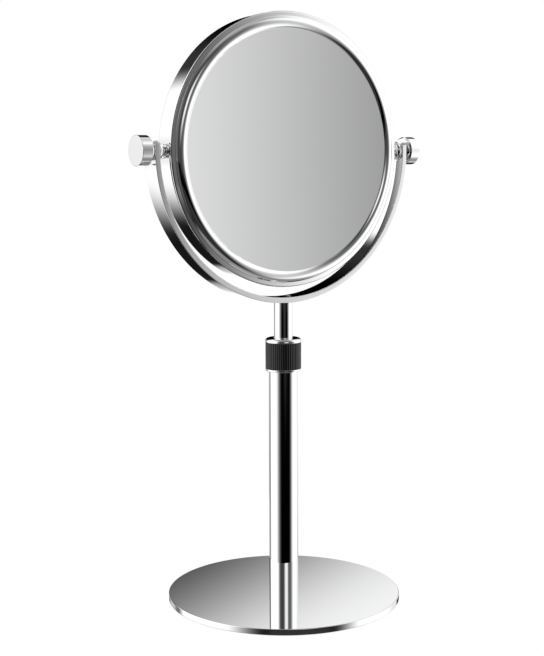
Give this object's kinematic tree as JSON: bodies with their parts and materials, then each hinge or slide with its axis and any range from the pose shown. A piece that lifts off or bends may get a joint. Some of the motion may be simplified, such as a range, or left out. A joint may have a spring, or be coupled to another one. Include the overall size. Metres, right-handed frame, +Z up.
{
  "type": "extendable shaving mirror",
  "caption": "Free-standing reversible shaving mirror: a round chrome head tilts in a half-round yoke on a telescopic stem with a clamp collar and a round base.",
  "frame": {"origin": "centre of the underside, on the surface that the base stands on", "axes": "+Z up along the stem, the front glass faces -Y, the head's tilt axis is along X"},
  "size_m": [0.2234, 0.16, 0.3993],
  "materials": {
    "chrome": "polished",
    "black_grip": "gloss",
    "mirror_glass": "polished",
    "rubber_pad": "matte",
    "zinc_steel": "satin",
    "brass": "satin",
    "nylon": "satin",
    "white_plastic": "matte",
    "foam": "matte"
  },
  "bodies": {
    "base": {"base_plate": "chrome", "base_pad": "rubber_pad", "base_washer": "zinc_steel", "base_screw": "zinc_steel", "foot_plug": "zinc_steel", "stem_tube": "chrome", "clamp_sleeve": "brass", "collet": "nylon"},
    "collar": {"collar_nut": "chrome", "grip_band": "black_grip"},
    "slider": {"guide_bush": "nylon"},
    "mast": {"inner_rod": "chrome", "rod_top_plug": "zinc_steel", "rod_foot_plug": "zinc_steel", "bush_washer": "zinc_steel", "bush_screw": "zinc_steel", "yoke": "chrome", "yoke_screw": "chrome", "friction_washers": "nylon", "knob_washers": "chrome"},
    "head": {"head_drum": "chrome", "front_bezel": "chrome", "rear_bezel": "chrome", "front_mirror": "mirror_glass", "rear_mirror": "mirror_glass", "front_foam": "foam", "rear_foam": "foam", "core_carrier": "white_plastic", "left_pivot": "chrome", "right_pivot": "chrome", "pivot_nuts": "zinc_steel"},
    "left_knob": {"left_knob": "chrome"},
    "right_knob": {"right_knob": "chrome"}
  },
  "joints": [
    {"name": "collar_turn", "type": "hinge", "parent": "base", "child": "collar", "pos_m": [0, 0, 0.171], "axis": [0, 0, 1], "range_deg": [0, 90]},
    {"name": "stem_slide", "type": "slide", "parent": "base", "child": "slider", "axis": [0, 0, 1], "range_m": [-0.022, 0.093]},
    {"name": "mast_turn", "type": "hinge", "parent": "slider", "child": "mast", "pos_m": [0, 0, 0.2], "axis": [0, 0, 1], "continuous": true},
    {"name": "head_tilt", "type": "hinge", "parent": "mast", "child": "head", "pos_m": [0, 0, 0.3084], "axis": [1, 0, 0], "continuous": true},
    {"name": "left_knob_turn", "type": "hinge", "parent": "head", "child": "left_knob", "pos_m": [-0.1075, 0, 0.3084], "axis": [-1, 0, 0], "range_deg": [0, 360]},
    {"name": "right_knob_turn", "type": "hinge", "parent": "head", "child": "right_knob", "pos_m": [0.1075, 0, 0.3084], "axis": [1, 0, 0], "range_deg": [0, 360]}
  ]
}
